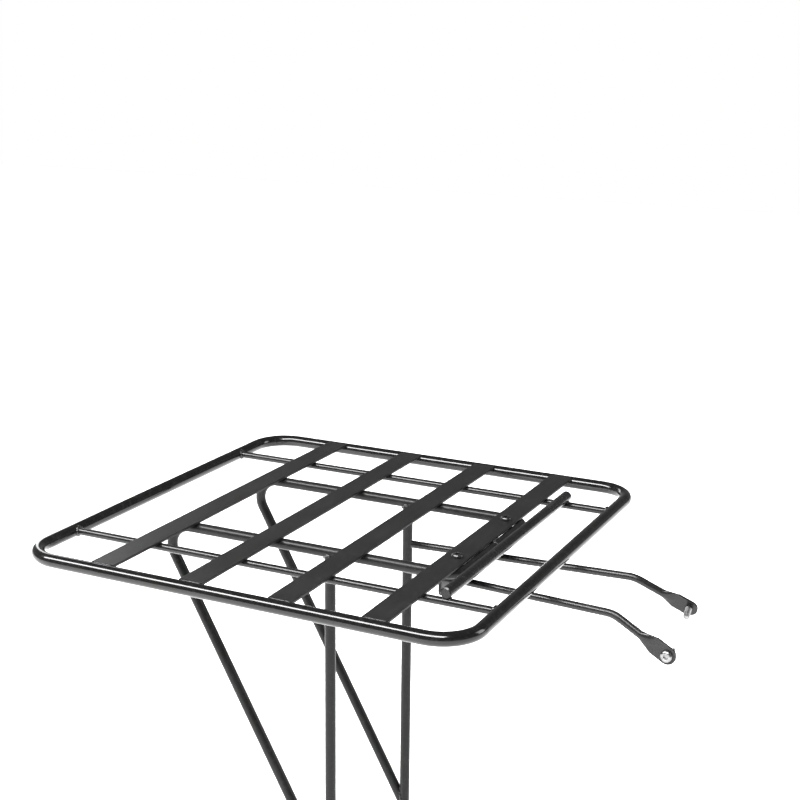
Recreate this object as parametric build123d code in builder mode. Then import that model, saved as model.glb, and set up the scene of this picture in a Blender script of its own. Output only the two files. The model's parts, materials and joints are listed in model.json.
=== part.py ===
"""Wide rear rack for a 28-inch bicycle, built as separate welded, bolted and clamped pieces.

Frame: +X points forward to the saddle, +Y to the bicycle's left, +Z up.
Origin: the centre of the load deck, level with the top of the slats.
"""

import os
from math import cos, radians, sin

from build123d import *

os.makedirs("parts", exist_ok=True)

RIGHT, LEFT = -1, 1
SIDES = {"right": RIGHT, "left": LEFT}

# ---------------------------------------------------------------- driving dimensions (mm)

# outer loop: one bent tube round the deck
deck_length = 435.0         # over the tube, along X
deck_width = 439.0          # over the tube, along Y
loop_tube_d = 12.0
loop_tube_wall = 1.2
loop_corner_r = 34.0        # bend radius of the tube's axis
vent_hole_d = 3.0           # lets gas out of the closed loop when it is welded and coated

# longitudinal rods between the loop's end tubes
rod_d = 7.0
rod_spacing = 281.0

# flat slats across the deck
slat_w = 23.0
slat_t = 2.5
slat_edge_r = 0.5
slat_centres = (-126.5, -37.0, 49.0, 134.5)
slat_end_set_in = 3.0       # a slat stops this far inside the side tube's axis

# round bar across the front of the deck, lying on the rods
front_bar_d = 10.0
front_bar_x = 164.5

# carrier: two bent side tubes and two straight legs under the deck
carrier_tube_d = 10.0
carrier_tube_wall = 1.2
carrier_spacing = 159.0     # between the axes of the right and left tubes
front_corner_r = 18.0
rear_bend_r = 20.0
rear_bend_behind_slat = 33.5
crossbar_past_slat = 13.5   # crossbar's axis ahead of the front slat's middle
leg_x = 23.0
leg_join_z = -338.0         # where the axes of leg and diagonal meet
foot_hole_z = -411.0

# flattened feet
foot_w = 16.0
foot_t = 3.0
foot_neck = 18.0            # length over which the round tube turns flat
foot_flat = 16.0            # from the end of the neck to the hole's centre
foot_hole_d = 6.4

# stays from the deck's front to the seat stays
stay_d = 7.0
stay_ref_half_spacing = 35.7    # between the middle plane and a stay, level with the bracket's bolts
stay_splay = 4.0            # degrees away from the X axis, seen from above
stay_drop = 28.5            # degrees down after the bend
stay_bend_r = 25.0
stay_axis_below_deck = 30.0
stay_tail = 75.0            # behind the bracket's bolts
stay_to_bend = 140.0        # from the bracket's bolts to the bend's corner
stay_bend_to_hole = 55.4
stay_end_w = 15.5
stay_end_t = 2.4
stay_neck = 14.0            # length over which the round rod turns flat
stay_flat = 14.0            # from the end of the neck to the hole's centre
flat_edge_r = 0.6           # rounding of the flattened ends' long edges
stay_hole_d = 6.4
stay_set_back = {"right": 0.0, "left": 10.0}    # how far each stay is slid back in its sleeve
stay_turn = {"right": 0.0, "left": 20.0}        # degrees each stay is turned in its sleeve, end outwards

# bracket with two sleeves that hold the stays behind the front slat
bracket_t = 3.0
bracket_half = 65.0
bracket_front_gap = 1.0     # to the crossbar
bracket_web_past_slat = 0.5     # rear face behind the slat's rear edge
bracket_web_margin = 1.0    # of web left below each sleeve
bracket_bolt_past_slat = 1.5    # bolts ahead of the front slat's middle
bracket_bolt_half_spacing = 56.0
sleeve_wall = 2.0
sleeve_length = 26.0
sleeve_ahead_of_web = 2.0
set_screw_d = 5.0
set_screw_behind_web = 11.0
set_screw_tip_gap = 0.15
set_screw_stand_out = 2.5   # past the sleeve's skin
set_screw_socket_af = 2.5
set_screw_socket_depth = 2.5

# M6 fasteners
bolt_d = 6.0
bolt_relief_d = 5.0         # undercut where a stay bolt's thread ends
bolt_relief_w = 0.6
bolt_hole_d = 6.6
bolt_head_d = 10.5
bolt_head_h = 3.3
bolt_head_round = 2.2
socket_af = 4.0
socket_depth = 2.0
bolt_point = 0.6
nut_af = 10.0
nut_h = 5.0
washer_d = 12.0
washer_t = 1.6
bolt_past_nut = 2.5
stay_bolt_free = 12.0       # thread that stands out of the stay's inner face

# clearances
sleeve_clearance = 0.10
thread_clearance = 0.05

# ---------------------------------------------------------------- levels and places worked out

slat_bottom_z = -slat_t
rod_z = slat_bottom_z - rod_d / 2
loop_z = rod_z
loop_half_x = (deck_length - loop_tube_d) / 2
loop_half_y = (deck_width - loop_tube_d) / 2
rod_y = rod_spacing / 2

front_slat_x = slat_centres[-1]
front_bar_z = slat_bottom_z + front_bar_d / 2
front_bar_half = rod_y + rod_d / 2

carrier_y = carrier_spacing / 2
carrier_z = slat_bottom_z - carrier_tube_d / 2
carrier_front_x = front_slat_x + crossbar_past_slat
carrier_rear_x = slat_centres[0] - rear_bend_behind_slat

stay_z = -stay_axis_below_deck
bolt_x = front_slat_x + bracket_bolt_past_slat
bracket_bolt_places = [(bolt_x, side * bracket_bolt_half_spacing) for side in SIDES.values()]
web_rear_x = front_slat_x - slat_w / 2 - bracket_web_past_slat
bracket_front_x = carrier_front_x - carrier_tube_d / 2 - bracket_front_gap
flange_bottom_z = slat_bottom_z - bracket_t
washer_bottom_z = flange_bottom_z - washer_t
nut_bottom_z = washer_bottom_z - nut_h
sleeve_outer_r = stay_d / 2 + sleeve_clearance + sleeve_wall
web_bottom_z = stay_z - sleeve_outer_r - bracket_web_margin


def finish(builder, name):
    """Label a finished piece and write it as its own STEP file."""
    builder.part.label = name
    export_step(builder.part, f"parts/{name}.step")


def stay_plane(side, set_back=0.0, turn=0.0):
    """Plane of one stay's bend: local x runs forward along the stay, local y is up unless it is turned."""
    forward = Vector(cos(radians(stay_splay)), side * sin(radians(stay_splay)), 0)
    origin = Vector(bolt_x, side * stay_ref_half_spacing, stay_z) - forward * set_back
    up = Vector(0, 0, 1).rotate(Axis(origin, forward), side * turn)
    return Plane(origin=origin, x_dir=forward, z_dir=forward.cross(up))


# ---------------------------------------------------------------- outer loop

loop_outline = RectangleRounded(2 * loop_half_x, 2 * loop_half_y, loop_corner_r).wire()
loop_path = loop_outline.moved(Location((0, 0, loop_z)))
loop_start = Plane(origin=loop_path @ 0, z_dir=loop_path % 0)

# solid copy of the loop, used to shape the ends that are welded to it
with BuildPart() as loop_envelope:
    with BuildSketch(loop_start):
        Circle(loop_tube_d / 2)
    sweep(path=loop_path)

with BuildPart() as outer_loop:
    with BuildSketch(loop_start):
        Circle(loop_tube_d / 2)
        Circle(loop_tube_d / 2 - loop_tube_wall, mode=Mode.SUBTRACT)
    sweep(path=loop_path)
    with BuildSketch(Plane.XY.offset(loop_z)):
        with Locations(*[(-loop_half_x, side * rod_y / 2) for side in SIDES.values()]):
            Circle(vent_hole_d / 2)
    extrude(amount=-loop_tube_d, mode=Mode.SUBTRACT)
finish(outer_loop, "outer_loop")

# ---------------------------------------------------------------- rods

for side_name, side in SIDES.items():
    with BuildPart() as rod:
        with BuildSketch(Plane.YZ.offset(-loop_half_x)):
            with Locations((side * rod_y, rod_z)):
                Circle(rod_d / 2)
        extrude(amount=2 * loop_half_x)
        add(loop_envelope.part, mode=Mode.SUBTRACT)
    finish(rod, f"rod_{side_name}")

# ---------------------------------------------------------------- slats

slat_length = 2 * (loop_half_y - slat_end_set_in)

for number, slat_x in enumerate(slat_centres, start=1):
    with BuildPart() as slat:
        with BuildSketch(Plane.XY.offset(slat_bottom_z)):
            with Locations((slat_x, 0)):
                Rectangle(slat_w, slat_length)
        extrude(amount=slat_t)
        fillet(slat.edges().filter_by(Axis.Y), slat_edge_r)
        add(loop_envelope.part, mode=Mode.SUBTRACT)
        if slat_x == front_slat_x:
            with BuildSketch(Plane.XY):
                with Locations(*bracket_bolt_places):
                    Circle(bolt_hole_d / 2)
            extrude(amount=-slat_t, mode=Mode.SUBTRACT)
    finish(slat, f"slat_{number}")

# ---------------------------------------------------------------- front bar

with BuildPart() as front_bar:
    with BuildSketch(Plane.XZ.offset(-front_bar_half)):
        with Locations((front_bar_x, front_bar_z)):
            Circle(front_bar_d / 2)
    extrude(amount=2 * front_bar_half)
    chamfer(front_bar.edges().filter_by(GeomType.CIRCLE), 1.0)
finish(front_bar, "front_bar")

# ---------------------------------------------------------------- carrier side tubes

for side_name, side in SIDES.items():
    corners = [
        (carrier_front_x, 0, carrier_z),
        (carrier_front_x, side * carrier_y, carrier_z),
        (carrier_rear_x, side * carrier_y, carrier_z),
        (leg_x, side * carrier_y, leg_join_z),
    ]
    with BuildPart() as side_tube:
        with BuildLine():
            tube_path = FilletPolyline(*corners, radius=[front_corner_r, rear_bend_r])
        with BuildSketch(Plane(origin=tube_path @ 0, z_dir=tube_path % 0)):
            Circle(carrier_tube_d / 2)
            Circle(carrier_tube_d / 2 - carrier_tube_wall, mode=Mode.SUBTRACT)
        sweep(path=tube_path)
        # the diagonal's lower end is shaped to the leg
        with BuildSketch(Plane.XY.offset(leg_join_z - 3 * carrier_tube_d)):
            with Locations((leg_x, side * carrier_y)):
                Circle(carrier_tube_d / 2)
        extrude(amount=9 * carrier_tube_d, mode=Mode.SUBTRACT)
    finish(side_tube, f"side_tube_{side_name}")

# ---------------------------------------------------------------- legs with flattened feet

neck_bottom_z = foot_hole_z + foot_flat
neck_top_z = neck_bottom_z + foot_neck

for side_name, side in SIDES.items():
    leg_axis = (leg_x, side * carrier_y)
    foot_plane = Plane(
        origin=(leg_x, side * carrier_y - foot_t / 2, foot_hole_z), x_dir=(1, 0, 0), z_dir=(0, -1, 0)
    )
    with BuildPart() as leg:
        with BuildSketch(Plane.XY.offset(neck_top_z)):
            with Locations(leg_axis):
                Circle(carrier_tube_d / 2)
                Circle(carrier_tube_d / 2 - carrier_tube_wall, mode=Mode.SUBTRACT)
        extrude(amount=carrier_z - neck_top_z)
        # round to flat
        with BuildSketch(Plane.XY.offset(neck_top_z)):
            with Locations(leg_axis):
                Circle(carrier_tube_d / 2)
        with BuildSketch(Plane.XY.offset(neck_bottom_z)):
            with Locations(leg_axis):
                Ellipse(foot_w / 2, foot_t / 2)
        loft()
        # flat end with a round tip
        with BuildSketch(foot_plane):
            Circle(foot_w / 2)
            with Locations((0, foot_flat / 2 + 1)):
                Rectangle(foot_w, foot_flat + 2)
        extrude(amount=-foot_t)
        with BuildSketch(foot_plane):
            Circle(foot_hole_d / 2)
        extrude(amount=-foot_t, mode=Mode.SUBTRACT)
        # the top is shaped to the side tube that it is welded to
        with BuildSketch(Plane.YZ.offset(leg_x - carrier_tube_d)):
            with Locations((side * carrier_y, carrier_z)):
                Circle(carrier_tube_d / 2)
        extrude(amount=2 * carrier_tube_d, mode=Mode.SUBTRACT)
    finish(leg, f"leg_{side_name}")

# ---------------------------------------------------------------- stays

slope = Vector(cos(radians(stay_drop)), -sin(radians(stay_drop)))
neck_start = stay_bend_to_hole - stay_flat - stay_neck

for side_name, side in SIDES.items():
    plane = stay_plane(side, stay_set_back[side_name], stay_turn[side_name])
    bend = Vector(stay_to_bend, 0)
    neck_point = bend + slope * neck_start
    hole_point = bend + slope * stay_bend_to_hole
    neck_plane = Plane(
        origin=plane.from_local_coords(neck_point),
        x_dir=plane.z_dir,
        z_dir=plane.from_local_coords(neck_point + slope) - plane.from_local_coords(neck_point),
    )
    end_plane = Plane(
        origin=plane.from_local_coords(hole_point),
        x_dir=neck_plane.z_dir,
        z_dir=plane.z_dir,
    )
    with BuildPart() as stay:
        with BuildLine(plane):
            stay_path = FilletPolyline(
                (-stay_tail, 0), (bend.X, bend.Y), (neck_point.X, neck_point.Y), radius=stay_bend_r
            )
        with BuildSketch(Plane(origin=stay_path @ 0, z_dir=stay_path % 0)):
            Circle(stay_d / 2)
        sweep(path=stay_path)
        # round to flat
        with BuildSketch(neck_plane):
            Circle(stay_d / 2)
        with BuildSketch(neck_plane.offset(stay_neck)):
            RectangleRounded(stay_end_t, stay_end_w, flat_edge_r)
        loft()
        # flat end with a round tip
        with BuildSketch(end_plane.offset(-stay_end_t / 2)):
            Circle(stay_end_w / 2)
            with Locations((-stay_flat / 2, 0)):
                Rectangle(stay_flat, stay_end_w)
        extrude(amount=stay_end_t)
        with BuildSketch(end_plane.offset(-stay_end_t / 2)):
            Circle(stay_hole_d / 2)
        extrude(amount=stay_end_t, mode=Mode.SUBTRACT)
    finish(stay, f"stay_{side_name}")

    # bolt through the stay's end: head on the outer side, thread towards the seat stay
    outward = Vector(0, side, 0)
    axis_dir = end_plane.z_dir if end_plane.z_dir.dot(outward) > 0 else end_plane.z_dir * -1
    face_origin = end_plane.origin + axis_dir * (stay_end_t / 2)
    head_plane = Plane(origin=face_origin, x_dir=neck_plane.z_dir, z_dir=axis_dir)

    with BuildPart() as stay_bolt:
        with BuildSketch(head_plane):
            Circle(bolt_head_d / 2)
        extrude(amount=bolt_head_h)
        head_top = stay_bolt.faces().sort_by(Axis(head_plane.origin, axis_dir))[-1]
        fillet(head_top.edges(), bolt_head_round)
        with BuildSketch(head_plane.offset(bolt_head_h)):
            RegularPolygon(socket_af / 2, 6, major_radius=False)
        extrude(amount=-socket_depth, mode=Mode.SUBTRACT)
        with BuildSketch(head_plane):
            Circle(bolt_d / 2)
        extrude(amount=-(stay_end_t + stay_bolt_free))
        with BuildSketch(head_plane.offset(-stay_end_t)):
            Circle(bolt_d / 2)
            Circle(bolt_relief_d / 2, mode=Mode.SUBTRACT)
        extrude(amount=-bolt_relief_w, mode=Mode.SUBTRACT)
        bolt_tip = stay_bolt.faces().sort_by(Axis(head_plane.origin, axis_dir))[0]
        chamfer(bolt_tip.edges(), bolt_point)
    finish(stay_bolt, f"stay_bolt_{side_name}")

# ---------------------------------------------------------------- stay bracket and sleeves


def sleeve_start(side, set_in):
    """Plane square to a stay's axis, set_in ahead of the sleeve's rear end."""
    plane = stay_plane(side)
    front_x = web_rear_x + bracket_t + sleeve_ahead_of_web
    along = (front_x - bolt_x) / cos(radians(stay_splay)) - sleeve_length + set_in
    return Plane(origin=plane.origin + plane.x_dir * along, x_dir=Vector(0, 0, 1), z_dir=plane.x_dir)


def screw_plane(side):
    """Plane at a set screw's tip, facing away from the middle of the bracket."""
    middle = sleeve_start(side, sleeve_length - sleeve_ahead_of_web - bracket_t - set_screw_behind_web)
    outward = Vector(-sin(radians(stay_splay)), side * cos(radians(stay_splay)), 0)
    tip = middle.origin + outward * (stay_d / 2 + set_screw_tip_gap)
    return Plane(origin=tip, x_dir=Vector(0, 0, 1), z_dir=outward)


with BuildPart() as stay_bracket:
    with BuildSketch(Plane.XZ.offset(-bracket_half)):
        with BuildLine():
            Polyline(
                (web_rear_x, slat_bottom_z),
                (bracket_front_x, slat_bottom_z),
                (bracket_front_x, flange_bottom_z),
                (web_rear_x + bracket_t, flange_bottom_z),
                (web_rear_x + bracket_t, web_bottom_z),
                (web_rear_x, web_bottom_z),
                close=True,
            )
        make_face()
    extrude(amount=2 * bracket_half)
    inner_fold = stay_bracket.edges().filter_by(Axis.Y).group_by(Axis.Z)[1].sort_by(Axis.X)[0]
    fillet(inner_fold, bracket_t / 2)
    lower_corners = stay_bracket.edges().filter_by(Axis.X).group_by(Axis.Z)[0]
    fillet(lower_corners, 2 * bracket_t)
    with BuildSketch(Plane.XY.offset(slat_bottom_z)):
        with Locations(*bracket_bolt_places):
            Circle(bolt_hole_d / 2)
    extrude(amount=-bracket_t, mode=Mode.SUBTRACT)
    for side in SIDES.values():
        with BuildSketch(sleeve_start(side, 0)):
            Circle(sleeve_outer_r)
        extrude(amount=sleeve_length + bracket_t, mode=Mode.SUBTRACT)
finish(stay_bracket, "stay_bracket")

for side_name, side in SIDES.items():
    with BuildPart() as sleeve:
        with BuildSketch(sleeve_start(side, 0)):
            Circle(sleeve_outer_r)
            Circle(stay_d / 2 + sleeve_clearance, mode=Mode.SUBTRACT)
        extrude(amount=sleeve_length)
        with BuildSketch(screw_plane(side)):
            Circle(set_screw_d / 2 + thread_clearance)
        extrude(amount=2 * sleeve_wall, mode=Mode.SUBTRACT)
    finish(sleeve, f"sleeve_{side_name}")

with BuildPart() as set_screws:
    for side in SIDES.values():
        tip_plane = screw_plane(side)
        screw_length = sleeve_wall + sleeve_clearance - set_screw_tip_gap + set_screw_stand_out
        with BuildSketch(tip_plane):
            Circle(set_screw_d / 2)
        extrude(amount=screw_length)
        with BuildSketch(tip_plane.offset(screw_length)):
            RegularPolygon(set_screw_socket_af / 2, 6, major_radius=False)
        extrude(amount=-set_screw_socket_depth, mode=Mode.SUBTRACT)
finish(set_screws, "set_screws")

with BuildPart() as bracket_washers:
    with BuildSketch(Plane.XY.offset(washer_bottom_z)):
        with Locations(*bracket_bolt_places):
            Circle(washer_d / 2)
            Circle(bolt_hole_d / 2, mode=Mode.SUBTRACT)
    extrude(amount=washer_t)
finish(bracket_washers, "bracket_washers")

with BuildPart() as bracket_nuts:
    with BuildSketch(Plane.XY.offset(nut_bottom_z)):
        with Locations(*bracket_bolt_places):
            RegularPolygon(nut_af / 2, 6, major_radius=False)
            Circle(bolt_d / 2 + thread_clearance, mode=Mode.SUBTRACT)
    extrude(amount=nut_h)
finish(bracket_nuts, "bracket_nuts")

with BuildPart() as bracket_bolts:
    with BuildSketch(Plane.XY):
        with Locations(*bracket_bolt_places):
            Circle(bolt_head_d / 2)
    extrude(amount=bolt_head_h)
    fillet(bracket_bolts.edges().group_by(Axis.Z)[-1], bolt_head_round)
    with BuildSketch(Plane.XY.offset(bolt_head_h)):
        with Locations(*bracket_bolt_places):
            RegularPolygon(socket_af / 2, 6, major_radius=False)
    extrude(amount=-socket_depth, mode=Mode.SUBTRACT)
    with BuildSketch(Plane.XY):
        with Locations(*bracket_bolt_places):
            Circle(bolt_d / 2)
    extrude(amount=nut_bottom_z - bolt_past_nut)
    chamfer(bracket_bolts.edges().group_by(Axis.Z)[0], bolt_point)
finish(bracket_bolts, "bracket_bolts")
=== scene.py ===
"""Looks of the rear rack: coats, welds, threads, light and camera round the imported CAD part.

Metres. The frame is the CAD part's own: +X forward, +Y to the bicycle's left, +Z up,
with the origin at the centre of the deck, level with the top of the slats.
"""

import json
import random
from math import atan2, cos, pi, radians, sin

import bpy
from mathutils import Matrix, Vector


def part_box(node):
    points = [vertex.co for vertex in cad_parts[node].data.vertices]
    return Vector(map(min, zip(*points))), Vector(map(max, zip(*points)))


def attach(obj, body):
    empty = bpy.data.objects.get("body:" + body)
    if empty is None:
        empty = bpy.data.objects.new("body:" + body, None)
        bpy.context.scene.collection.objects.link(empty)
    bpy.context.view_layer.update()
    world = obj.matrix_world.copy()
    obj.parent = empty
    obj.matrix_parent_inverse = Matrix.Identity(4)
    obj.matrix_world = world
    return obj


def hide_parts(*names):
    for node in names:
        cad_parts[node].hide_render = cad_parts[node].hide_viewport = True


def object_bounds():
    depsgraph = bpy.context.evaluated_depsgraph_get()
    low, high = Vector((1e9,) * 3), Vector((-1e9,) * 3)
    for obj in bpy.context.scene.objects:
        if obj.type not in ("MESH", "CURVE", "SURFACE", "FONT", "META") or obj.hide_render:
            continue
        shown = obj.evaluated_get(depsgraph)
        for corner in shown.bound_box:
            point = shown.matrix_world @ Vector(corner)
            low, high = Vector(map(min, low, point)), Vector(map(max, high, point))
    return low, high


MM = 0.001
RIGHT, LEFT = -1, 1
SIDES = {"right": RIGHT, "left": LEFT}

# places that the frame's boxes don't tell, as in the part
REAR_BEND_BEHIND_SLAT = 33.5 * MM
LEG_JOIN_Z = -338.0 * MM
LOOP_SEAM_X = 17.0 * MM
WEB_T = 3.0 * MM
STAY_END_T = 2.4 * MM
STAY_BOLT_LENGTH = 14.4 * MM
STAY_BOLT_RELIEF = 0.6 * MM
STAY_PIN_FROM_SEAT = STAY_END_T + 6.0 * MM
PLAIN_UNDER_HEAD = 3.0 * MM

# where the camera stands, in metres and degrees, and its lens in millimetres
CAMERA_AT = Vector((0.61665, -1.16004, 0.44779))
CAMERA_AZIMUTH = 25.965
CAMERA_ELEVATION = 14.339
CAMERA_ROLL = 0.602
CAMERA_LENS = 66.08


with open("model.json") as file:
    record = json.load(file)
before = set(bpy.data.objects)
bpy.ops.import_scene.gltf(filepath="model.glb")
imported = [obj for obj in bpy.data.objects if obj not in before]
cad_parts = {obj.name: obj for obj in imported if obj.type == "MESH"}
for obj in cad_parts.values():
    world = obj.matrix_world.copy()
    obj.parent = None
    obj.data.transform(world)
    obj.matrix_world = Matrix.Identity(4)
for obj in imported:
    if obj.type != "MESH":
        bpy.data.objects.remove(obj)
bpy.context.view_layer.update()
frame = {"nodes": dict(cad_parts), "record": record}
nodes = frame["nodes"]
random.seed(28)

# ---------------------------------------------------------------- sizes read from the frame


def centre(node):
    low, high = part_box(node)
    return (low + high) / 2


def size(node):
    low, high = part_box(node)
    return high - low


loop_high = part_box("outer_loop")[1]
loop_r = size("outer_loop").z / 2
loop_x = loop_high.x - loop_r
loop_y = loop_high.y - loop_r
loop_z = centre("outer_loop").z
rod_r = size("rod_right").y / 2
rod_y = centre("rod_left").y
rod_z = centre("rod_left").z
slat_w = size("slat_1").x
bar_r = size("front_bar").x / 2
tube_r = size("leg_left").y / 2
leg_y = centre("leg_left").y
leg_x = centre("leg_left").x
rail_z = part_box("side_tube_left")[1].z - tube_r
crossbar_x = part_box("side_tube_left")[1].x - tube_r
SLATS = ["slat_1", "slat_2", "slat_3", "slat_4"]

# the two beads along a round bar's top: how far from its middle and how high, over its radius
BEAD_SIDE = 0.62
ROD_BEAD_RISE = 0.86
TUBE_BEAD_RISE = 0.90
BAR_BEAD_SIDE = 0.60
BAR_BEAD_RISE = 0.98

# half lengths of those beads, over the slat's width or the rod's radius
ROD_BEAD_HALF = 0.42
TUBE_BEAD_HALF = 0.40
BAR_BEAD_HALF = 0.70

# half widths of weld beads
ROD_RING_BEAD = 1.3 * MM
SLAT_TOP_BEAD = 0.55 * MM
SLAT_UNDER_BEAD = 1.2 * MM
SLAT_BEAD = 0.9 * MM
SMALL_BEAD = 0.8 * MM
LEG_BEAD = 1.4 * MM
LOOP_SEAM_BEAD = 0.42 * MM

# how far beads lie from the faces that they join
ROD_RING_PAST = 0.3 * MM
TOP_BEAD_DOWN = 0.6 * MM
UNDER_BEAD_UP = 0.1 * MM
LEG_BEAD_DOWN = 0.2 * MM
LOOP_SEAM_IN = 0.55 * MM
CROSSBAR_SEAM_IN = 0.1 * MM
LEG_RING_SPREAD = 1.02      # over the leg's radius
LEG_RING_LIMIT = 0.97       # where a ring stops following the other tube's flank, over its radius
DIAGONAL_RING_LIMIT = 0.985

RING_STEPS = 72             # points of a ring of weld, and of a bolt's or nut's outline
ALONG_X = Vector((1, 0, 0))
ALONG_Y = Vector((0, 1, 0))

# ---------------------------------------------------------------- node helpers


class Nodes:
    """A material's node tree with short calls to add and join nodes."""

    def __init__(self, name):
        self.material = bpy.data.materials.new(name)
        self.material.use_nodes = True
        self.tree = self.material.node_tree
        self.tree.nodes.clear()
        self.output = self.add("ShaderNodeOutputMaterial")
        self.shader = self.add("ShaderNodeBsdfPrincipled")
        self.link(self.shader.outputs["BSDF"], self.output.inputs["Surface"])
        self.place = self.add("ShaderNodeTexCoord").outputs["Object"]

    def add(self, kind, **settings):
        node = self.tree.nodes.new(kind)
        for key, value in settings.items():
            setattr(node, key, value)
        return node

    def link(self, source, target):
        self.tree.links.new(source, target)

    def set(self, **values):
        """Set uniform values directly on the shader's sockets."""
        for key, value in values.items():
            self.shader.inputs[key.replace("_", " ")].default_value = value

    def stretched(self, scale):
        node = self.add("ShaderNodeMapping")
        node.inputs["Scale"].default_value = scale
        self.link(self.place, node.inputs["Vector"])
        return node.outputs["Vector"]

    def noise(self, scale, detail=3.0, rough=0.5, vector=None):
        node = self.add("ShaderNodeTexNoise")
        node.inputs["Scale"].default_value = scale
        node.inputs["Detail"].default_value = detail
        node.inputs["Roughness"].default_value = rough
        self.link(vector or self.place, node.inputs["Vector"])
        return node.outputs["Fac"]

    def ramp(self, factor, stops):
        node = self.add("ShaderNodeValToRGB")
        ramp = node.color_ramp
        while len(ramp.elements) < len(stops):
            ramp.elements.new(0.5)
        for element, (position, value) in zip(ramp.elements, stops):
            element.position = position
            element.color = value if isinstance(value, tuple) else (value, value, value, 1)
        self.link(factor, node.inputs["Fac"])
        return node.outputs["Color"]

    def math(self, operation, a, b):
        node = self.add("ShaderNodeMath", operation=operation)
        for socket, value in zip(node.inputs, (a, b)):
            if isinstance(value, (int, float)):
                socket.default_value = value
            else:
                self.link(value, socket)
        return node.outputs["Value"]

    def mix(self, factor, a, b):
        node = self.add("ShaderNodeMix", data_type="RGBA")
        self.link(factor, node.inputs["Factor"])
        for name, value in (("A", a), ("B", b)):
            socket = [s for s in node.inputs if s.name == name and s.type == "RGBA"][0]
            if isinstance(value, tuple):
                socket.default_value = value
            else:
                self.link(value, socket)
        return [s for s in node.outputs if s.type == "RGBA"][0]

    def edges(self, radius, low, high):
        """1 on convex edges and 0 on flats, from how a rounded normal leaves the true one."""
        bevel = self.add("ShaderNodeBevel", samples=6)
        bevel.inputs["Radius"].default_value = radius
        geometry = self.add("ShaderNodeNewGeometry")
        dot = self.add("ShaderNodeVectorMath", operation="DOT_PRODUCT")
        self.link(bevel.outputs["Normal"], dot.inputs[0])
        self.link(geometry.outputs["Normal"], dot.inputs[1])
        turned = self.math("SUBTRACT", 1.0, dot.outputs["Value"])
        return self.ramp(turned, [(low, 0.0), (high, 1.0)])

    def bump(self, height, distance, strength, base=None):
        node = self.add("ShaderNodeBump")
        node.inputs["Distance"].default_value = distance
        node.inputs["Strength"].default_value = strength
        self.link(height, node.inputs["Height"])
        if base is not None:
            self.link(base, node.inputs["Normal"])
        return node.outputs["Normal"]

    def finish(self, color, roughness, normal):
        self.link(color, self.shader.inputs["Base Color"])
        self.link(roughness, self.shader.inputs["Roughness"])
        self.link(normal, self.shader.inputs["Normal"])
        return self.material


def grey(value):
    return (value, value, value, 1.0)


# ---------------------------------------------------------------- coats and metals

DUST = (0.22, 0.21, 0.20, 1)
SCUFFED = grey(0.05)
RUBBED = (0.10, 0.10, 0.105, 1)


def powder_coat(name, tone, shine, mirror, peel, scuff_axis, scuffs, worn):
    """Black powder coat: orange peel, dust, fine scuffs along one axis and thin worn edges."""
    n = Nodes(name)
    n.set(Metallic=0.0, IOR=1.5, Specular_IOR_Level=mirror)
    clouds = n.noise(14.0, detail=4.0)
    dust = n.noise(260.0, detail=5.0, rough=0.7)
    stretch = [420.0, 420.0, 420.0]
    stretch[scuff_axis] = 18.0
    lines = n.noise(1.0, detail=4.0, rough=0.65, vector=n.stretched(stretch))
    scuffed = n.ramp(lines, [(0.60, 0.0), (0.74, scuffs)])
    edge = n.edges(0.0007, 0.05, 0.32)
    patches = n.ramp(n.noise(90.0, detail=5.0, rough=0.65), [(0.42, 0.0), (0.62, worn)])
    rubbed = n.math("MULTIPLY", edge, patches)

    base = n.ramp(clouds, [(0.3, grey(tone * 0.82)), (0.7, grey(tone * 1.25))])
    dusty = n.mix(n.ramp(dust, [(0.52, 0.0), (0.80, 0.05)]), base, DUST)
    marked = n.mix(scuffed, dusty, SCUFFED)
    color = n.mix(rubbed, marked, RUBBED)

    gloss = n.ramp(clouds, [(0.25, shine * 0.85), (0.75, shine * 1.2)])
    dulled = n.math("ADD", gloss, n.math("MULTIPLY", scuffed, 0.5))
    roughness = n.math("ADD", dulled, n.math("MULTIPLY", n.ramp(dust, [(0.4, 0.0), (0.8, 1.0)]), 0.08))

    skin = n.bump(n.noise(620.0, detail=1.0), 0.00006, peel)
    grain = n.bump(n.noise(3600.0, detail=2.0), 0.00002, peel, base=skin)
    return n.finish(color, roughness, grain)


def weld_coat(name, tone, shine):
    """The coat over a weld bead, thicker and softer, with a little spatter grain."""
    n = Nodes(name)
    n.set(Metallic=0.0, IOR=1.5)
    clouds = n.noise(120.0, detail=4.0)
    color = n.ramp(clouds, [(0.35, grey(tone * 0.8)), (0.7, grey(tone * 1.8))])
    roughness = n.ramp(clouds, [(0.3, shine * 0.8), (0.7, shine * 1.5)])
    normal = n.bump(n.noise(1600.0, detail=3.0), 0.00015, 0.45)
    return n.finish(color, roughness, normal)


def plated(name, dark, light, shine, metallic, worn):
    """Plated steel: fine grain, handling haze and bright worn edges."""
    n = Nodes(name)
    n.set(Metallic=metallic, IOR=2.2)
    haze = n.noise(220.0, detail=5.0, rough=0.6)
    fine = n.noise(2600.0, detail=3.0, rough=0.6)
    color = n.ramp(haze, [(0.3, grey(dark)), (0.72, grey(light))])
    edge = n.edges(0.0005, 0.04, 0.30)
    patches = n.ramp(n.noise(500.0, detail=4.0), [(0.35, 0.0), (0.6, worn)])
    color = n.mix(n.math("MULTIPLY", edge, patches), color, grey(0.62))
    roughness = n.ramp(haze, [(0.25, shine * 0.75), (0.8, shine * 1.45)])
    normal = n.bump(fine, 0.00005, 0.35)
    return n.finish(color, roughness, normal)


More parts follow.
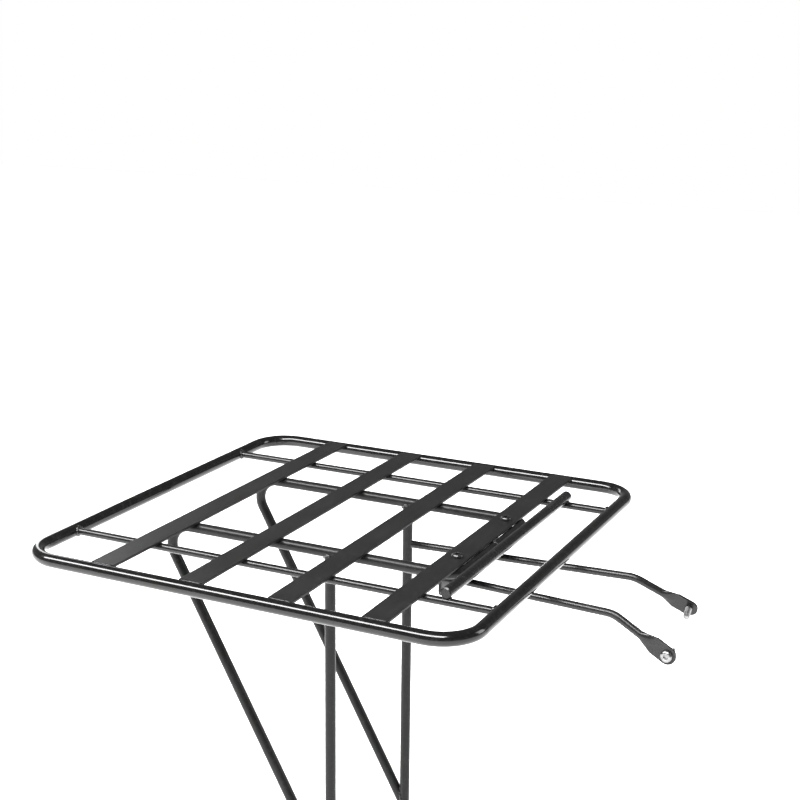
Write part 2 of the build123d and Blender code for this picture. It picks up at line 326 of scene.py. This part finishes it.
# name, tone, shine (roughness), mirror, orange peel, scuffs' axis, scuffs, worn edges
loop_coat = powder_coat("gloss_black_coat", 0.0040, 0.11, 0.40, 0.05, 0, 0.10, 0.3)
slat_coat = powder_coat("slat_black_coat", 0.0060, 0.40, 0.16, 0.07, 1, 0.16, 0.75)
rod_coat = powder_coat("rod_black_coat", 0.0050, 0.20, 0.32, 0.06, 0, 0.12, 0.4)
bar_coat = powder_coat("bar_black_coat", 0.0055, 0.22, 0.28, 0.07, 1, 0.14, 0.5)
leg_coat = powder_coat("leg_black_coat", 0.0055, 0.30, 0.18, 0.09, 2, 0.16, 0.6)
stay_coat = powder_coat("stay_black_coat", 0.0070, 0.24, 0.30, 0.07, 0, 0.18, 0.8)
clamp_coat = powder_coat("clamp_black_coat", 0.0055, 0.30, 0.20, 0.10, 1, 0.14, 0.6)
bead_coat = weld_coat("weld_bead_coat", 0.0045, 0.20)
black_zinc = plated("black_zinc_plate", 0.030, 0.065, 0.26, 0.85, 0.9)
bright_zinc = plated("bright_zinc_plate", 0.15, 0.32, 0.30, 1.0, 0.4)

COATS = {
    "outer_loop": loop_coat,
    "rod_right": rod_coat,
    "rod_left": rod_coat,
    "front_bar": bar_coat,
    "side_tube_right": leg_coat,
    "side_tube_left": leg_coat,
    "leg_right": leg_coat,
    "leg_left": leg_coat,
    "stay_bracket": clamp_coat,
    "sleeve_right": clamp_coat,
    "sleeve_left": clamp_coat,
    "set_screws": black_zinc,
    "bracket_bolts": black_zinc,
    "bracket_washers": black_zinc,
    "bracket_nuts": black_zinc,
    "stay_right": stay_coat,
    "stay_left": stay_coat,
    "stay_bolt_right": bright_zinc,
    "stay_bolt_left": bright_zinc,
}
COATS.update({name: slat_coat for name in SLATS})

for node_name, coat in COATS.items():
    part = nodes[node_name]
    part.data.materials.clear()
    part.data.materials.append(coat)

# ---------------------------------------------------------------- welds


def add_mesh(name, points, faces, material, body):
    """A smooth-shaded closed mesh that rides on a body."""
    mesh = bpy.data.meshes.new(name)
    mesh.from_pydata(points, [], faces)
    mesh.validate()
    mesh.shade_smooth()
    piece = bpy.data.objects.new(name, mesh)
    bpy.context.scene.collection.objects.link(piece)
    mesh.materials.append(material)
    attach(piece, body)
    return piece


def bead_geometry(path, width, closed, ripple=0.12, around=10):
    """Points and faces of a rippled bead that follows a path, thin at its open ends."""
    count = len(path)
    points, faces = [], []
    phase = random.uniform(0, 2 * pi)
    for i, point in enumerate(path):
        before = path[(i - 1) % count] if closed or i else path[0]
        after = path[(i + 1) % count] if closed or i < count - 1 else path[-1]
        along = (after - before).normalized()
        side = along.orthogonal().normalized()
        other = along.cross(side)
        swell = 1 + ripple * sin(phase + i * 2.1) + random.uniform(-0.5, 0.5) * ripple
        if not closed:
            share = min(i, count - 1 - i) / (0.12 * count)
            swell *= 0.35 + 0.65 * min(1.0, share) ** 0.5
        for k in range(around):
            turn = 2 * pi * k / around
            points.append(point + (side * cos(turn) + other * sin(turn)) * width * swell)
    rings = count if closed else count - 1
    for i in range(rings):
        a, b = i * around, ((i + 1) % count) * around
        for k in range(around):
            m = (k + 1) % around
            faces.append((a + k, a + m, b + m, b + k))
    if not closed:
        faces.append(tuple(reversed(range(around))))
        faces.append(tuple((count - 1) * around + k for k in range(around)))
    return points, faces


def add_bead(name, path, width, closed=False):
    """A bead of weld on the rack's own body."""
    points, faces = bead_geometry(path, width, closed)
    add_mesh(name, points, faces, bead_coat, "rack")


def straight(middle, along, half, steps):
    """Points of a straight run, half of it on each side of its middle."""
    return [middle + along * (half * (2 * i / steps - 1)) for i in range(steps + 1)]


def tube_meeting(own_r, other_r, own_axis, at, steps=64):
    """Where a round bar meets a tube across it: the bar runs along own_axis, the tube is horizontal.

    at is where the two axes cross, own_axis points from the tube to the bar.
    """
    path = []
    cross_axis = Vector((own_axis.y, -own_axis.x, 0)).normalized()
    up = own_axis.cross(cross_axis).normalized()
    for i in range(steps):
        turn = 2 * pi * i / steps
        across = cross_axis * cos(turn) * own_r
        rise = sin(turn) * own_r
        reach = (other_r ** 2 - rise ** 2) ** 0.5
        path.append(at + across + up * rise + own_axis * reach)
    return path


# rods to the loop's rear and front tubes
for side_name, side in SIDES.items():
    for end_name, end in (("rear", -1), ("front", 1)):
        crossing = Vector((end * loop_x, side * rod_y, loop_z))
        ring = tube_meeting(rod_r + ROD_RING_PAST, loop_r, Vector((-end, 0, 0)), crossing)
        add_bead(f"weld_rod_{side_name}_{end_name}", ring, ROD_RING_BEAD, closed=True)

# slats to the loop's side tubes, a bead under each end and one short run on top
for slat_name in SLATS:
    slat_centre = centre(slat_name)
    low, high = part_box(slat_name)
    for side_name, side in SIDES.items():
        for level_name, level, end_gap, width in (
            ("top", high.z - TOP_BEAD_DOWN, 1.5 * MM, SLAT_TOP_BEAD),
            ("under", low.z + UNDER_BEAD_UP, 0.5 * MM, SLAT_UNDER_BEAD),
        ):
            drop = level - loop_z
            reach = loop_y - (loop_r ** 2 - drop ** 2) ** 0.5
            run = straight(Vector((slat_centre.x, side * reach, level)), ALONG_X, slat_w / 2 - end_gap, 30)
            add_bead(f"weld_{slat_name}_{side_name}_{level_name}", run, width)

# slats and front bar to the rods
for side_name, side in SIDES.items():
    for slat_name in SLATS:
        slat_centre = centre(slat_name)
        for edge_name, edge in (("inner", -1), ("outer", 1)):
            y = side * (rod_y + edge * rod_r * BEAD_SIDE)
            z = rod_z + rod_r * ROD_BEAD_RISE
            run = straight(Vector((slat_centre.x, y, z)), ALONG_X, slat_w * ROD_BEAD_HALF, 24)
            add_bead(f"weld_{slat_name}_rod_{side_name}_{edge_name}", run, SLAT_BEAD)
    bar = centre("front_bar")
    for edge_name, edge in (("rear", -1), ("front", 1)):
        x = bar.x + edge * bar_r * BAR_BEAD_SIDE
        z = rod_z + rod_r * BAR_BEAD_RISE
        run = straight(Vector((x, side * rod_y, z)), ALONG_Y, rod_r * BAR_BEAD_HALF, 16)
        add_bead(f"weld_bar_rod_{side_name}_{edge_name}", run, SMALL_BEAD)

# side tubes to the slats
for side_name, side in SIDES.items():
    for slat_name in SLATS[:3]:
        slat_centre = centre(slat_name)
        for edge_name, edge in (("inner", -1), ("outer", 1)):
            y = side * (leg_y + edge * tube_r * BEAD_SIDE)
            z = rail_z + tube_r * TUBE_BEAD_RISE
            run = straight(Vector((slat_centre.x, y, z)), ALONG_X, slat_w * TUBE_BEAD_HALF, 24)
            add_bead(f"weld_{slat_name}_tube_{side_name}_{edge_name}", run, SLAT_BEAD)

# side tubes to the front slat, as far as the tubes run straight
FRONT_RUN_HALF = 2.8 * MM
FRONT_RUN_MIDDLE = 3.4 * MM     # ahead of the slat's rear edge
front_run_x = centre("slat_4").x - slat_w / 2 + FRONT_RUN_MIDDLE
for side_name, side in SIDES.items():
    for edge_name, edge in (("inner", -1), ("outer", 1)):
        y = side * (leg_y + edge * tube_r * BEAD_SIDE)
        z = rail_z + tube_r * TUBE_BEAD_RISE
        run = straight(Vector((front_run_x, y, z)), ALONG_X, FRONT_RUN_HALF, 14)
        add_bead(f"weld_slat_4_tube_{side_name}_{edge_name}", run, SMALL_BEAD)

# legs up to the side tubes
for side_name, side in SIDES.items():
    crossing = Vector((leg_x, side * leg_y, rail_z))
    ring = []
    for i in range(RING_STEPS):
        turn = 2 * pi * i / RING_STEPS
        x, y = tube_r * cos(turn), tube_r * sin(turn)
        z = -((tube_r ** 2 - min(abs(y), tube_r * LEG_RING_LIMIT) ** 2) ** 0.5)
        ring.append(crossing + Vector((x * LEG_RING_SPREAD, y * LEG_RING_SPREAD, z - LEG_BEAD_DOWN)))
    add_bead(f"weld_leg_{side_name}", ring, LEG_BEAD, closed=True)

# diagonals down to the legs
corner_x = centre("slat_1").x - REAR_BEND_BEHIND_SLAT
slope = atan2(leg_x - corner_x, rail_z - LEG_JOIN_Z)
slope_normal = Vector((cos(slope), 0, sin(slope)))
slope_up = Vector((-sin(slope), 0, cos(slope)))
for side_name, side in SIDES.items():
    foot = Vector((leg_x, side * leg_y, LEG_JOIN_Z))
    ring = []
    for i in range(RING_STEPS):
        turn = 2 * pi * i / RING_STEPS
        across = tube_r * cos(turn)
        outward = tube_r * sin(turn)
        leg_skin = -((tube_r ** 2 - min(abs(across), tube_r * DIAGONAL_RING_LIMIT) ** 2) ** 0.5)
        climb = (leg_skin - outward * slope_normal.x) / slope_up.x
        ring.append(foot + slope_up * climb + slope_normal * outward + Vector((0, across, 0)))
    add_bead(f"weld_diagonal_{side_name}", ring, ROD_RING_BEAD, closed=True)


def hoop(at, radius, axis, steps=RING_STEPS):
    """A ring of points round a tube."""
    side = axis.orthogonal().normalized()
    other = axis.cross(side)
    turns = [2 * pi * i / steps for i in range(steps)]
    return [at + (side * cos(t) + other * sin(t)) * radius for t in turns]


# butt seams: the loop's on the right side tube, the front crossbar's at its middle
seam_at = Vector((LOOP_SEAM_X, -loop_y, loop_z))
seam_ring = hoop(seam_at, loop_r - LOOP_SEAM_IN, ALONG_X)
add_bead("weld_loop_seam", seam_ring, LOOP_SEAM_BEAD, closed=True)
crossbar_at = Vector((crossbar_x, 0, rail_z))
crossbar_ring = hoop(crossbar_at, tube_r - CROSSBAR_SEAM_IN, ALONG_Y)
add_bead("weld_crossbar_seam", crossbar_ring, SMALL_BEAD, closed=True)

# sleeves in the bracket's web, a ring on each of its faces
joints = {joint["name"]: joint for joint in frame["record"]["behaviour"]["joints"]}
web_rear_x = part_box("stay_bracket")[0].x
for side_name in SIDES:
    along = Vector(joints[f"stay_slide_{side_name}"]["axis"]).normalized()
    sleeve_middle = centre(f"sleeve_{side_name}")
    sleeve_r = size(f"sleeve_{side_name}").z / 2
    for face_name, face_x in (("rear", web_rear_x), ("front", web_rear_x + WEB_T)):
        at = sleeve_middle + along * ((face_x - sleeve_middle.x) / along.x)
        add_bead(f"weld_sleeve_{side_name}_{face_name}", hoop(at, sleeve_r, along), SMALL_BEAD, closed=True)

# ---------------------------------------------------------------- bolts and nuts with threads

HEAD_TOP_SHARE = 0.62       # radius of the head's flat top, over the head's own
SOCKET_FLOOR_SHARE = 0.35   # width of the socket's flat floor, over the socket's own
SOCKET_WALL_SHARE = 0.9     # depth of the socket's straight walls, over the socket's own
SOCKET_LIP = 0.12 * MM
SOCKET_FLARE = 0.3 * MM
SMALL_EDGE = 0.2 * MM
BOLT_POINT = 0.7 * MM
THREAD_ROOT_SHARE = 0.82    # root, point and tip radii over the thread's own
POINT_SHARE = 0.80
TIP_SHARE = 0.70
NUT_FACE_SHARE = 0.95       # radius of the nut's flat faces, over half its width
NUT_CHAMFER_SLOPE = 0.55
NUT_BORE_FLARE = 0.5 * MM
NUT_THREAD_DEPTH = 0.4 * MM
NUT_THREAD_GAP = 0.3 * MM   # between the nut's faces and its thread
HEAD_ROUND_STEPS = 8
HEAD_RIM_H = 0.9 * MM       # straight rim under a bolt head's round top


def circle_ring(radius, height, steps=RING_STEPS):
    turns = [2 * pi * k / steps for k in range(steps)]
    return [Vector((radius * cos(t), radius * sin(t), height)) for t in turns]


def hex_ring(across_flats, heights, steps=RING_STEPS):
    """A six-sided ring; heights is one value or a function of the corner distance."""
    ring = []
    for k in range(steps):
        turn = 2 * pi * k / steps
        folded = (turn + pi / 6) % (pi / 3) - pi / 6
        radius = across_flats / 2 / cos(folded)
        height = heights(radius) if callable(heights) else heights
        ring.append(Vector((radius * cos(turn), radius * sin(turn), height)))
    return ring


def thread_rings(minor, major, start, end, pitch, steps=RING_STEPS, per_pitch=10):
    """Rings of a helical V thread from one height to another."""
    count = max(2, round(abs(end - start) / pitch * per_pitch))
    rings = []
    for i in range(count + 1):
        z = start + (end - start) * i / count
        ring = []
        for k in range(steps):
            turn = 2 * pi * k / steps
            share = (z / pitch - k / steps) % 1.0
            crest = min(1.0, max(0.0, 1.25 - abs(share - 0.5) * 2.9))
            radius = minor + (major - minor) * crest
            ring.append(Vector((radius * cos(turn), radius * sin(turn), z)))
        rings.append(ring)
    return rings


def skin_rings(rings, capped):
    """Points and faces of a closed skin over rings that follow each other."""
    steps = len(rings[0])
    points = [p for ring in rings for p in ring]
    faces = []
    for i in range(len(rings) - 1):
        for k in range(steps):
            m = (k + 1) % steps
            a, b = i * steps, (i + 1) * steps
            faces.append((a + k, a + m, b + m, b + k))
    if capped:
        last = (len(rings) - 1) * steps
        faces.append(tuple(reversed(range(steps))))
        faces.append(tuple(last + k for k in range(steps)))
    return points, faces


def bolt_geometry(head_r, head_h, socket_af, socket_deep, thread_r, plain, length, pitch):
    """A button-head bolt: its seat is at height 0, the head above, the thread below."""
    rings = [hex_ring(socket_af * SOCKET_FLOOR_SHARE, head_h - socket_deep)]
    rings.append(hex_ring(socket_af, head_h - socket_deep * SOCKET_WALL_SHARE))
    rings.append(hex_ring(socket_af, head_h - SOCKET_LIP))
    rings.append(hex_ring(socket_af + SOCKET_FLARE, head_h))
    rim_r = head_r * HEAD_TOP_SHARE
    rings.append(circle_ring(rim_r, head_h))
    crown_h = head_h - HEAD_RIM_H
    for i in range(1, HEAD_ROUND_STEPS + 1):
        turn = pi / 2 * i / HEAD_ROUND_STEPS
        radius = rim_r + (head_r - rim_r) * sin(turn)
        rings.append(circle_ring(radius, HEAD_RIM_H + crown_h * cos(turn)))
    rings.append(circle_ring(head_r, SMALL_EDGE))
    rings.append(circle_ring(head_r - SMALL_EDGE, 0.0))
    rings.append(circle_ring(thread_r, 0.0))
    rings.append(circle_ring(thread_r, -plain))
    thread_top = -plain - SMALL_EDGE
    thread_bottom = -length + BOLT_POINT
    rings += thread_rings(thread_r * THREAD_ROOT_SHARE, thread_r, thread_top, thread_bottom, pitch)
    rings.append(circle_ring(thread_r * POINT_SHARE, -length + SMALL_EDGE))
    rings.append(circle_ring(thread_r * TIP_SHARE, -length))
    rings.reverse()
    return skin_rings(rings, capped=True)


def nut_geometry(across_flats, height, bore_r, pitch):
    """A six-sided nut with both faces chamfered and a threaded bore; it sits on height 0."""
    face_r = across_flats / 2 * NUT_FACE_SHARE

    def lower(radius):
        return max(0.0, radius - face_r) * NUT_CHAMFER_SLOPE

    outside = [
        circle_ring(bore_r + NUT_BORE_FLARE, 0.0),
        circle_ring(face_r, 0.0),
        hex_ring(across_flats, lower),
        hex_ring(across_flats, lambda radius: height - lower(radius)),
        circle_ring(face_r, height),
        circle_ring(bore_r + NUT_BORE_FLARE, height),
    ]
    thread_outer = bore_r + NUT_THREAD_DEPTH
    inside = thread_rings(bore_r, thread_outer, height - NUT_THREAD_GAP, NUT_THREAD_GAP, pitch)
    rings = outside + inside + [outside[0]]
    return skin_rings(rings, capped=False)


def placed(points, origin, axis):
    """Points stood up along an axis from an origin."""
    turn = Vector((0, 0, 1)).rotation_difference(axis)
    return [origin + turn @ p for p in points]


def add_hardware(name, pieces, material, body, replaced):
    """One mesh of several alike fasteners, in place of their CAD node."""
    points, faces = [], []
    for own_points, own_faces in pieces:
        start = len(points)
        points += own_points
        faces += [tuple(start + i for i in face) for face in own_faces]
    piece = add_mesh(name, points, faces, material, body)
    piece.data.set_sharp_from_angle(angle=radians(32))
    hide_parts(replaced)
    return piece


THREAD_R = 3.0 * MM
THREAD_PITCH = 1.0 * MM
HEAD_R = 5.25 * MM
HEAD_H = 3.3 * MM
SOCKET_AF = 4.0 * MM
SOCKET_DEEP = 2.0 * MM
NUT_AF = 10.0 * MM

bolts_low, bolts_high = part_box("bracket_bolts")
bolt_x = centre("bracket_bolts").x
bolt_y = bolts_high.y - HEAD_R
bolt_length = -bolts_low.z
bracket_bolt_points, bracket_bolt_faces = bolt_geometry(
    HEAD_R, HEAD_H, SOCKET_AF, SOCKET_DEEP, THREAD_R, PLAIN_UNDER_HEAD, bolt_length, THREAD_PITCH
)
upright = Vector((0, 0, 1))
bolt_spots = [Vector((bolt_x, side * bolt_y, 0)) for side in SIDES.values()]
add_hardware(
    "bracket_bolts_threaded",
    [(placed(bracket_bolt_points, spot, upright), bracket_bolt_faces) for spot in bolt_spots],
    black_zinc,
    "rack",
    "bracket_bolts",
)

nuts_low, nuts_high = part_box("bracket_nuts")
nut_h = nuts_high.z - nuts_low.z
nut_bore_r = THREAD_R + 0.05 * MM
nut_points, nut_faces = nut_geometry(NUT_AF, nut_h, nut_bore_r, THREAD_PITCH)
add_hardware(
    "bracket_nuts_chamfered",
    [(placed(nut_points, spot + Vector((0, 0, nuts_low.z)), upright), nut_faces) for spot in bolt_spots],
    black_zinc,
    "rack",
    "bracket_nuts",
)

mounts = {mount["name"]: mount for mount in frame["record"]["mounts"]}
for side_name, side in SIDES.items():
    pin = mounts[f"stay_end_{side_name}"]
    inward = Vector(pin["axis"]).normalized()
    pin_middle = Vector(pin["pos_m"])
    seat = pin_middle - inward * STAY_PIN_FROM_SEAT
    plain = STAY_END_T + STAY_BOLT_RELIEF
    points, faces = bolt_geometry(
        HEAD_R, HEAD_H, SOCKET_AF, SOCKET_DEEP, THREAD_R, plain, STAY_BOLT_LENGTH, THREAD_PITCH
    )
    add_hardware(
        f"stay_bolt_threaded_{side_name}",
        [(placed(points, seat, -inward), faces)],
        bright_zinc,
        f"{side_name}_stay",
        f"stay_bolt_{side_name}",
    )

# ---------------------------------------------------------------- floor, light and camera


def floor_material():
    n = Nodes("studio_floor")
    n.set(Metallic=0.0, Specular_IOR_Level=0.2)
    tone = n.ramp(n.noise(1.2, detail=3.0), [(0.3, grey(0.80)), (0.7, grey(0.84))])
    roughness = n.ramp(n.noise(3.0), [(0.3, 0.75), (0.7, 0.85)])
    normal = n.bump(n.noise(300.0), 0.0002, 0.1)
    return n.finish(tone, roughness, normal)


FLOOR_SIZE = 12
floor_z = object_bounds()[0][2]
bpy.ops.mesh.primitive_plane_add(size=FLOOR_SIZE, location=(0, 0, floor_z))
floor = bpy.context.active_object
floor.name = "studio_floor"
floor.data.materials.append(floor_material())


# what the room sends to the rack: heights, from the horizon at 0 to overhead at 1, with their glow
ROOM_GLOW = [(0.02, 0.30), (0.55, 0.05)]


def studio_world():
    """White backdrop for the camera; a dark ceiling over a dim horizon for light and reflections."""
    world = bpy.data.worlds.new("studio")
    bpy.context.scene.world = world
    world.use_nodes = True
    tree = world.node_tree
    tree.nodes.clear()
    output = tree.nodes.new("ShaderNodeOutputWorld")
    mix = tree.nodes.new("ShaderNodeMixShader")
    path = tree.nodes.new("ShaderNodeLightPath")
    backdrop = tree.nodes.new("ShaderNodeBackground")
    backdrop.inputs["Color"].default_value = (1, 1, 1, 1)
    backdrop.inputs["Strength"].default_value = 1.0
    room = tree.nodes.new("ShaderNodeBackground")
    room.inputs["Strength"].default_value = 1.0
    direction = tree.nodes.new("ShaderNodeTexCoord")
    parts = tree.nodes.new("ShaderNodeSeparateXYZ")
    ramp = tree.nodes.new("ShaderNodeValToRGB")
    for element, (height, glow) in zip(ramp.color_ramp.elements, ROOM_GLOW):
        element.position = height
        element.color = grey(glow)
    tree.links.new(direction.outputs["Generated"], parts.inputs["Vector"])
    tree.links.new(parts.outputs["Z"], ramp.inputs["Fac"])
    tree.links.new(ramp.outputs["Color"], room.inputs["Color"])
    tree.links.new(path.outputs["Is Camera Ray"], mix.inputs["Fac"])
    tree.links.new(room.outputs["Background"], mix.inputs[1])
    tree.links.new(backdrop.outputs["Background"], mix.inputs[2])
    tree.links.new(mix.outputs["Shader"], output.inputs["Surface"])


def softbox(name, at, aim, width, height, watts, in_gloss=True):
    """A rectangular area light that faces a point; in_gloss says whether reflections show it."""
    light = bpy.data.lights.new(name, "AREA")
    light.shape = "RECTANGLE"
    light.size = width
    light.size_y = height
    light.energy = watts
    lamp = bpy.data.objects.new(name, light)
    bpy.context.scene.collection.objects.link(lamp)
    lamp.location = at
    lamp.rotation_euler = (Vector(aim) - Vector(at)).to_track_quat("-Z", "Y").to_euler()
    lamp.visible_glossy = in_gloss


studio_world()
softbox(
    "floor_wash",
    at=(-2.0, 3.0, 6.0),
    aim=(-2.0, 3.0, 0),
    width=20.0,
    height=20.0,
    watts=2150,
    in_gloss=False,
)
softbox("near_strip", at=(-1.1, -1.6, 2.35), aim=(-1.1, -0.1, 0), width=4.6, height=0.85, watts=430)
softbox("front_panel", at=(2.4, 1.4, 0.9), aim=(0, 0, 0), width=1.0, height=1.4, watts=26)
softbox("rear_panel", at=(-2.2, 1.8, 0.8), aim=(0, 0, 0), width=0.6, height=1.6, watts=16)

bpy.context.scene.view_settings.view_transform = "Standard"

camera_data = bpy.data.cameras.new("camera")
camera_data.sensor_width = 36.0
camera_data.lens = CAMERA_LENS
camera_data.clip_start = 0.05
camera_data.clip_end = 60.0
camera = bpy.data.objects.new("camera", camera_data)
bpy.context.scene.collection.objects.link(camera)
turned = radians(CAMERA_AZIMUTH)
raised = radians(CAMERA_ELEVATION)
back = Vector((sin(turned) * cos(raised), -cos(turned) * cos(raised), sin(raised)))
facing = back.to_track_quat("Z", "Y").to_matrix()
rolled = facing @ Matrix.Rotation(radians(CAMERA_ROLL), 3, "Z")
camera.matrix_world = Matrix.Translation(CAMERA_AT) @ rolled.to_4x4()
bpy.context.scene.camera = camera
